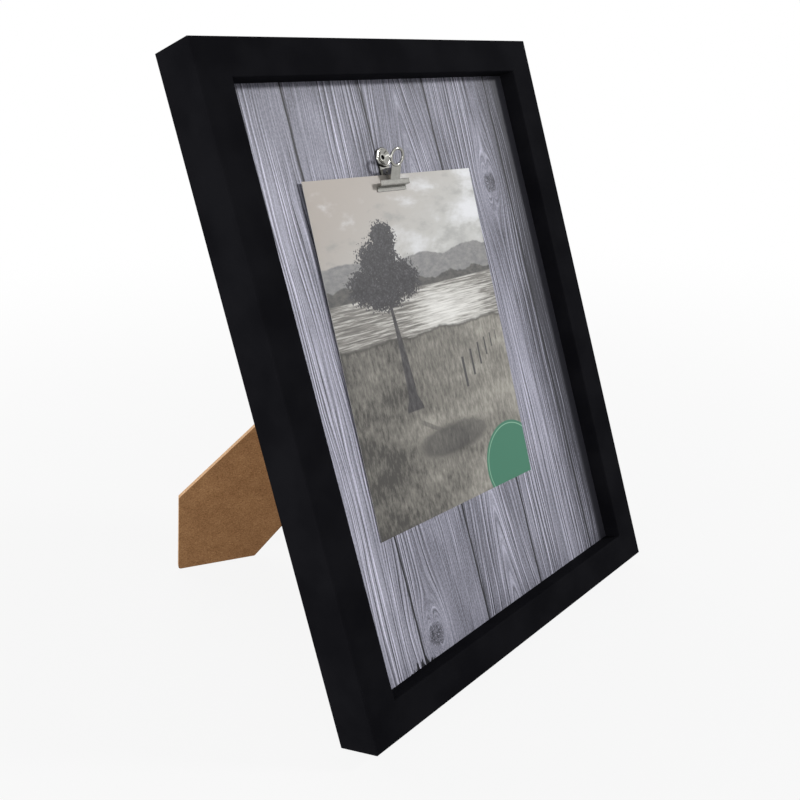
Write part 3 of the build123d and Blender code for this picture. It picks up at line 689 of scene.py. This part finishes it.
clip = ["clip_front_plate", "clip_rear_plate", "clip_pin", "clip_rivet", "rivet_washer"]
hinge = ["hinge_panel_leaf", "hinge_leg_leaf", "hinge_pin", "panel_rivets", "leg_rivets"]
hangers = ["portrait_hanger", "landscape_hanger", "hanger_nails"]
buttons = [f"turn_button_{number}" for number in range(1, 7)]
fixings = [*hinge, *hangers, *buttons, "button_screws", "corner_nails"]
metal("nickel_steel", clip, dark="#83827e", light="#aaa9a4", roughness=0.09)
spring_finish = metal("spring_steel", [], dark="#6f6f6f", light="#959595", roughness=0.22)
metal("zinc_steel", fixings, dark="#808285", light="#adb0b4", roughness=0.34)

# %% [markdown]
# ## Rubber bumpers
# Four soft bumpers keep the back corners off the wall. Rubber is matt and near black, and what
# tells it from the film on the rails is its blunt grain. A fine noise in colour and relief is
# enough for pieces that are seen so small.

# %% Finish of the corner bumpers
rubber = Finish("black_rubber", Specular_IOR_Level=0.3, Roughness=0.75)
x, v, d = rubber.place(face_middle, across, upwards, inwards)
grain = rubber.noise(rubber.vector(x, v, d), scale=3, detail=3)
rubber.paint(rubber.mix(grain, colour("#131313"), colour("#222222")), relief=grain, relief_mm=0.04)
rubber.dress("corner_bumpers")

# %% [markdown]
# ## The photo card: its own directions
# The card hangs slightly askew in the clip, so the frame's directions don't fit it. It slides out
# along its own length, which the slide joint gives, and its broad face gives the way it looks. The
# third direction is square to both. The print is then drawn in a across and b up the card.

# %% Find the card's directions and middle
card_up = -Vector(joint("photo_slide")["axis"]).normalized()
card_facing = widest_facing("photo_card")
card_across = card_up.cross(card_facing).normalized()
card_middle = Vector((0, 0, 0))
for way in (card_across, card_up, card_facing):
    low, high = extent(["photo_card"], way)
    card_middle += way * (low + high) / 2
    print(f"card {(high - low) / MM:.2f} mm")

card = Finish("photo_paper", Specular_IOR_Level=0.3)
a, b = card.place(card_middle, card_across, card_up)

# %% [markdown]
# ## The photo card: sky
# The print is a landscape in soft, faded greys. Like a painter's, it is built from the back to
# the front, each layer covering what is below it where its mask is one. The sky is warmer in the
# hazy corner. Its clouds are two noises, large billows and finer wisps, that together pick where
# it is bright and where it is dull.

# %% Paint the sky


def layer(share, below, paint):
    """Lays a colour, written or mixed, over what is below, where share is one."""
    return card.mix(share, below, colour(paint) if isinstance(paint, str) else paint)


billow = card.noise(card.vector(a * 0.022, b * 0.034), detail=6, roughness=0.55, distortion=0.4)
wisp = card.noise(card.vector(a * 0.05 + 9, b * 0.1), detail=5, roughness=0.6)
haze = (b / 88 - a / 130).rise(0.2, 1.5)
bright = billow * 0.7 + wisp * 0.3 - haze * 0.12
dull = billow * 0.4 + wisp * 0.6 + haze * 0.05
picture = card.mix(haze, colour("#c7c7c4"), colour("#b0a79f"))
picture = layer(bright.rise(0.44, 0.6), picture, "#e8e9ec")
picture = layer(dull.rise(0.5, 0.37) * 0.45, picture, "#8e8e8e")
print(f"sky: {len(card.tree.nodes)} nodes")

# %% [markdown]
# ## The photo card: hills and lake
# A ridge line is a height that wanders across the card, and a hill is all that lies below it. The
# far ridge is pale and the near one dark, as air makes them. The lake's ripples are a noise that
# is stretched across, with a glare where the bright sky lies in the water.

# %% Paint the hills and the lake
FAR_RIDGE = 38
FAR_SWING = 16
NEAR_RIDGE = 24
NEAR_SWING = 20
LAKE_TOP = 29


def below_line(height):
    """One under a wandering line across the card, with a soft edge of a millimetre."""
    return (height - b).rise(-0.5, 0.5)


far_ridge = card.noise(card.vector(a * 0.03, 3), detail=4) * FAR_SWING + FAR_RIDGE
near_ridge = card.noise(card.vector(a * 0.045, 11), detail=5) * NEAR_SWING + NEAR_RIDGE
hill_grain = card.noise(card.vector(a * 0.2, b * 0.35), detail=5, roughness=0.7)
far_hills = card.shades(hill_grain, (0.3, "#77777a"), (0.7, "#9a9997"))
near_hills = card.shades(hill_grain, (0.3, "#3f3f41"), (0.7, "#6d6b67"))
ripple = card.noise(card.vector(a * 0.05, b * 0.9), detail=5, roughness=0.65)
glare = (a - 22).near(0, 46) * b.near(14, 22) * 0.25
water_greys = ((0.3, "#504e4d"), (0.5, "#8b8883"), (0.62, "#c9c7c2"), (0.8, "#efeeea"))
picture = layer(below_line(far_ridge), picture, far_hills)
picture = layer(below_line(near_ridge), picture, near_hills)
picture = layer(below_line(a * 0.02 + LAKE_TOP), picture, card.shades(ripple + glare, *water_greys))
print(f"with hills and lake: {len(card.tree.nodes)} nodes")

# %% [markdown]
# ## The photo card: meadow
# Grass is a noise stretched upwards, over a slower one for the rolling ground. The ground gets a
# little paler to the right. A thin dark line along the shore separates it from the water.

# %% Paint the meadow
SHORE = 0.5
SHORE_SWING = 9

shore = card.noise(card.vector(a * 0.05, 20), detail=4) * SHORE_SWING + SHORE
grass = card.noise(card.vector(a * 0.5, b * 0.16), detail=5, roughness=0.7)
rolling = card.noise(card.vector(a * 0.03, b * 0.06, 4), detail=3)
meadow_tone = (grass - 0.5) * 1.3 + (rolling - 0.5) + a / 260 + 0.42
meadow = card.shades(meadow_tone, (0.1, "#474542"), (0.5, "#86837c"), (0.9, "#b4b0a7"))
picture = layer(below_line(shore), picture, meadow)
picture = layer((shore - b).near(0, 1.6) * 0.7, picture, "#45433f")
print(f"with the meadow: {len(card.tree.nodes)} nodes")

# %% [markdown]
# ## The photo card: cast shadow and fence
# What stands in the meadow comes after it: first the tree's shadow on the grass, a soft oval that
# the grass breaks up and a slanting stem, then a row of fence posts. The posts are made in a
# loop, and each is further away, so it is shorter, thinner and higher up than the one before.

# %% Paint the shadow and the fence
POSTS = 6
FIRST_POST = 24
FIRST_FOOT = -30
FIRST_HEIGHT = 17


def far_from(first, second):
    """How far a place is from the middle of two distances."""
    return (first * first + second * second).root()


oval = far_from((a - 6) / 30, (b + 54) / 9).rise(1.4, 0.4)
oval = (oval + (grass - 0.5) * 1.6 + (rolling - 0.5) * 0.9).rise(0.4, 0.7)
stem = (b + 42 + (a + 14) * 0.55).size().rise(1.8, 0.9) * a.rise(-19, -16) * a.rise(6, 2)
fence = a * 0
for number in range(POSTS):
    post_a = FIRST_POST + number * 8.2 - number * number * 0.35
    foot_b = FIRST_FOOT + number * 5.4 - number * number * 0.25
    height = FIRST_HEIGHT - number * 2.2
    top_b = foot_b + height
    thinner = number * 0.13
    post = (a - post_a).size().rise(1.15 - thinner, 0.75 - thinner)
    fence = fence.most(post * b.rise(foot_b - 0.3, foot_b + 0.3) * b.rise(top_b, top_b - 0.6))
picture = layer(oval.most(stem * 0.8) * 0.6, picture, "#3b3a3b")
picture = layer(fence, picture, "#4a494a")
print(f"{POSTS} fence posts")

# %% [markdown]
# ## The photo card: tree
# A tree's crown is several soft balls, of which the strongest counts at each place. Added noise
# and scattered points tear its edge into sprays and leaflets, and the same two shade the leaves
# inside. The trunk follows a slight bend, widens downwards, and flares at its foot.

# %% Paint the tree
CROWN_BALLS = (
    (-24, 45, 17, 15),
    (-37, 34, 14, 11),
    (-10, 35, 16, 12),
    (-25, 29, 18, 10),
    (-18, 57, 11, 10),
)

crown = a * 0
for ball_a, ball_b, half_width, half_height in CROWN_BALLS:
    far = far_from((a - ball_a) / half_width, (b - ball_b) / half_height)
    crown = crown.most(far.rise(1.5, 0.3))
sprays = card.noise(card.vector(a * 0.28, b * 0.28, 5), detail=6, roughness=0.75) - 0.5
leaflets = card.specks(card.vector(a * 0.9, b * 0.9)) - 0.4
leaves = (crown + sprays * 1.7 - leaflets * 0.55).rise(0.42, 0.56)
leaf_tone = sprays * 1.2 - leaflets * 0.5 + 0.5
leaf_shade = card.shades(leaf_tone, (0.25, "#2c2b2d"), (0.55, "#434245"), (0.85, "#6a696b"))

height_share = (b + 30) / 60
trunk_middle = height_share * height_share * -3 - 20
half_trunk = b.rise(30, -34) * 2.6 + b.rise(-24, -33) * 3 + 0.8
trunk = ((a - trunk_middle).size() - half_trunk).rise(0.3, -0.3)
trunk = trunk * b.rise(-33.5, -32.5) * b.rise(46, 40)
bark = card.shades(grass, (0.35, "#2d2c2e"), (0.7, "#5d5b5c"))
picture = layer(trunk, picture, bark)
picture = layer(leaves, picture, leaf_shade)
print(f"{len(CROWN_BALLS)} balls in the crown")

# %% [markdown]
# ## The photo card: badge and paper
# A plain round badge in green, with a thin pale ring, fills the lower right corner. The paper is
# pearl: a little sheen that varies over each millimetre, and hardly any relief. Only the side
# that looks to the front is printed, so the edges and the back stay paper white.

# %% Finish the card
BADGE_A = 49.3
BADGE_B = -79.7
BADGE_RADIUS = 23.8
RING_INSET = 1.6
RING_HALF_WIDTH = 0.45

from_badge = far_from(a - BADGE_A, b - BADGE_B)
picture = layer(from_badge.rise(BADGE_RADIUS + 0.2, BADGE_RADIUS - 0.2), picture, "#427a63")
ring = (from_badge - BADGE_RADIUS + RING_INSET).near(0, RING_HALF_WIDTH)
picture = layer(ring * 0.75, picture, "#a5d0b6")
printed_side = card.facing(card_facing).rise(0.4, 0.6)
sheen = card.noise(card.vector(a, b), scale=1.5, detail=2)
card.paint(
    card.mix(printed_side, colour("#e8e6e1"), picture),
    roughness=sheen * 0.08 + 0.42,
    relief=sheen,
    relief_mm=0.006,
)
card.dress("photo_card")

# %% [markdown]
# ## The clip's spring: its run
# A torsion spring sits on the clip's pin: one leg presses the rear plate, the other the front
# plate. A curve object could be bevelled into a wire, but here it is drawn as a mesh. Its run is
# a helix from a formula, with a straight leg at each end along the way in which the wire leaves
# the coil. The rear leg lies against the board's side, and the front leg meets a plate whose neck
# leans, so the coil ends that much earlier.

# %% Work out the wire's run
SPRING_RADIUS = 1.25
WIRE_RADIUS = 0.25
SPRING_PITCH = 1.0
WHOLE_TURNS = 4
LEG_ANGLE = 60
NECK_ANGLE = 24.5
COIL_START = math.radians(180 + LEG_ANGLE)
COIL_END = math.radians(360 * WHOLE_TURNS - LEG_ANGLE - NECK_ANGLE)
REAR_LEG = 2.80
FRONT_LEG = 2.916
STEPS = 110

pin_way = Vector(joint("clip_squeeze")["axis"]).normalized()
pin_middle = Vector(joint("clip_squeeze")["pos_m"])
out_way = -inwards
rise_way = pin_way.cross(out_way).normalized()
coil_length = SPRING_PITCH * (COIL_END - COIL_START) / math.tau


def coil_point(angle):
    """The wire's middle at an angle round the pin."""
    out = SPRING_RADIUS * math.cos(angle)
    rise = SPRING_RADIUS * math.sin(angle)
    along = (angle - COIL_START) * SPRING_PITCH / math.tau - coil_length / 2
    return pin_middle + (out_way * out + rise_way * rise + pin_way * along) * MM


coil_turn = COIL_END - COIL_START
wire = [coil_point(COIL_START + coil_turn * step / STEPS) for step in range(STEPS + 1)]
wire.insert(0, wire[0] + (wire[0] - wire[1]).normalized() * REAR_LEG * MM)
wire.append(wire[-1] + (wire[-1] - wire[-2]).normalized() * FRONT_LEG * MM)
print(f"coil {coil_length:.2f} mm long, wire of {len(wire)} points")

# %% [markdown]
# ## The clip's spring: its tube
# A ring of corners stands square to the wire at each point, and faces join each ring to the next.
# The pin's direction is never along the wire, so it gives every ring the same upright, and the
# tube doesn't twist. A cap closes each end. Only the sides are shaded smooth.

# %% Build the tube
WIRE_SIDES = 14

tube = bmesh.new()
rings = []
angles = [math.tau * corner / WIRE_SIDES for corner in range(WIRE_SIDES)]
for number, point in enumerate(wire):
    before = wire[max(number - 1, 0)]
    after = wire[min(number + 1, len(wire) - 1)]
    run = (after - before).normalized()
    side = run.cross(pin_way).normalized()
    other = side.cross(run)
    offsets = [side * math.cos(angle) + other * math.sin(angle) for angle in angles]
    rings.append([tube.verts.new(point + offset * WIRE_RADIUS * MM) for offset in offsets])
for first, second in zip(rings, rings[1:]):
    for corner in range(WIRE_SIDES):
        following = (corner + 1) % WIRE_SIDES
        tube.faces.new((first[corner], first[following], second[following], second[corner]))
tube.faces.new(rings[0][::-1])
tube.faces.new(rings[-1])
bmesh.ops.recalc_face_normals(tube, faces=tube.faces)
for face in tube.faces:
    face.smooth = len(face.verts) == 4
spring_mesh = bpy.data.meshes.new("torsion_spring")
tube.to_mesh(spring_mesh)
tube.free()
print(f"spring of {len(spring_mesh.polygons)} faces")

# %% [markdown]
# ## The clip's spring: in place
# When the rings are squeezed, the front leg turns with the front plate and the coil winds up,
# while the rear plate stays riveted to the board. A rigid spring would leave one leg behind, and
# this tube is one rigid object: it gets the spring steel finish, its mesh is set where it stands,
# and the model's own spring piece is hidden.

# %% Place the spring
spring_mesh.materials.append(spring_finish.material)
spring = bpy.data.objects.new("torsion_spring", spring_mesh)
bpy.context.scene.collection.objects.link(spring)
coil_point(COIL_START)
coil_point(COIL_START) + pin_way * coil_length * MM
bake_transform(spring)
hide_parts("clip_spring")
print(f"{spring.name} is blended over {coil_length:.2f} mm")

# %% [markdown]
# ## A floor that stays white
# A frame for a shop's page stands on plain white, with a faint shadow. A white floor lit to full
# white would throw so much light back that the black rails turned grey. So the floor has two
# natures: rays that show the floor itself meet a white glow, and all other rays meet a dull grey.
# Close to the frame the glow gives way a little to the grey, which is where the shadow shows.

# %% Lay the floor
FLOOR_HALF = 30.0
CORNER_SIGNS = ((-1, -1), (1, -1), (1, 1), (-1, 1))

floor_mesh = bpy.data.meshes.new("floor")
corners = [(FLOOR_HALF * right, FLOOR_HALF * back, 0) for right, back in CORNER_SIGNS]
floor_mesh.from_pydata(corners, [], [(0, 1, 2, 3)])
floor = bpy.data.objects.new("floor", floor_mesh)
bpy.context.scene.collection.objects.link(floor)
print(f"floor {FLOOR_HALF * 2:.0f} m wide")

# %% Finish of the floor
FLOOR_GREY = (0.4, 0.4, 0.4, 1)
FADE_FROM = 0.1
FADE_TO = 1.2
GLOW_NEAR = 0.9
GLOW_FAR = 1.0


def seen_directly(tree):
    """One for rays that show the background itself: to the camera, in a gloss or through glass."""
    path = tree.nodes.new("ShaderNodeLightPath")
    total = path.outputs["Is Camera Ray"]
    for name in ("Is Glossy Ray", "Is Transmission Ray"):
        made = tree.nodes.new("ShaderNodeMath")
        made.operation = "MAXIMUM"
        tree.links.new(total, made.inputs[0])
        tree.links.new(path.outputs[name], made.inputs[1])
        total = made.outputs[0]
    return total


ground = Recipe("floor_white")
ground.tree.nodes.remove(ground.shader)
matt = ground.add("ShaderNodeBsdfDiffuse", {"Color": FLOOR_GREY}).outputs[0]
glow = ground.add("ShaderNodeEmission", {"Strength": 1.0}).outputs[0]
spot = ground.add("ShaderNodeTexCoord").outputs["Object"]
far = ground.add("ShaderNodeVectorMath", {0: spot}, operation="LENGTH").outputs["Value"]
inputs = {
    "Value": far,
    "From Min": FADE_FROM,
    "From Max": FADE_TO,
    "To Min": GLOW_NEAR,
    "To Max": GLOW_FAR,
}
fade = ground.add("ShaderNodeMapRange", inputs, interpolation_type="SMOOTHSTEP").outputs[0]
inputs = {0: seen_directly(ground.tree), 1: fade}
share = ground.add("ShaderNodeMath", inputs, operation="MULTIPLY").outputs[0]
both = ground.add("ShaderNodeMixShader", {0: share, 1: matt, 2: glow}).outputs[0]
ground.join(both, ground.tree.nodes["Material Output"].inputs["Surface"])
floor_mesh.materials.append(ground.material)
print(f"{ground.material.name}: {len(ground.tree.nodes)} nodes")

# %% [markdown]
# ## The room
# The world does the same trick as the floor. It shows white to the camera and in the clip's
# plating, but as light it is weak and comes from all sides, so it only keeps the recess from
# going fully black.

# %% Light the room faintly
ROOM_LIGHT = 0.08
ROOM_SEEN = 1.0
WHITE = (1, 1, 1, 1)

world = bpy.data.worlds.new("studio")
world.use_nodes = True
bpy.context.scene.world = world
tree = world.node_tree
room = tree.nodes["Background"]
room.inputs["Color"].default_value = WHITE
power = tree.nodes.new("ShaderNodeMapRange")
power.inputs["To Min"].default_value = ROOM_LIGHT
power.inputs["To Max"].default_value = ROOM_SEEN
tree.links.new(seen_directly(tree), power.inputs["Value"])
tree.links.new(power.outputs[0], room.inputs["Strength"])
print(f"the room lights with {ROOM_LIGHT} of the white that it shows")

# %% [markdown]
# ## The lamps
# A small key lamp from the front right lets the right rail shade the board beside it, and leaves
# a short shadow of clip and card. It stays well off the way in which the clip mirrors the camera,
# or the plating would burn out. A wide, weak fill softens its shadows, a side lamp shows the
# frame's left side, and a broad lamp behind serves the views of the back.

# %% Set the lamps
face_centre = on_frame(0, 0, 0)


def lamp(name, way, distance, size, power):
    """A square area lamp that shines on the front face from a distance along a way, in metres."""
    data = bpy.data.lights.new(name, "AREA")
    data.size = size
    data.energy = power
    made = bpy.data.objects.new(name, data)
    made.location = face_centre + way.normalized() * distance
    made.rotation_euler = (face_centre - made.location).to_track_quat("-Z", "Y").to_euler()
    bpy.context.scene.collection.objects.link(made)
    print(f"{name}: {power} W from {distance} m")


lamp("key_lamp", across * 0.7 - inwards + upwards * 0.35, distance=2.2, size=0.3, power=32)
lamp("fill_lamp", across * -0.45 - inwards + upwards * 0.15, distance=1.8, size=1.0, power=5.5)
lamp("side_lamp", Vector((-1, -0.03, 0.08)), distance=1.5, size=0.8, power=20)
lamp("back_lamp", Vector((0.3, 1, 0.7)), distance=1.8, size=2.0, power=24)
bpy.context.scene.view_settings.view_transform = "Standard"

# %% [markdown]
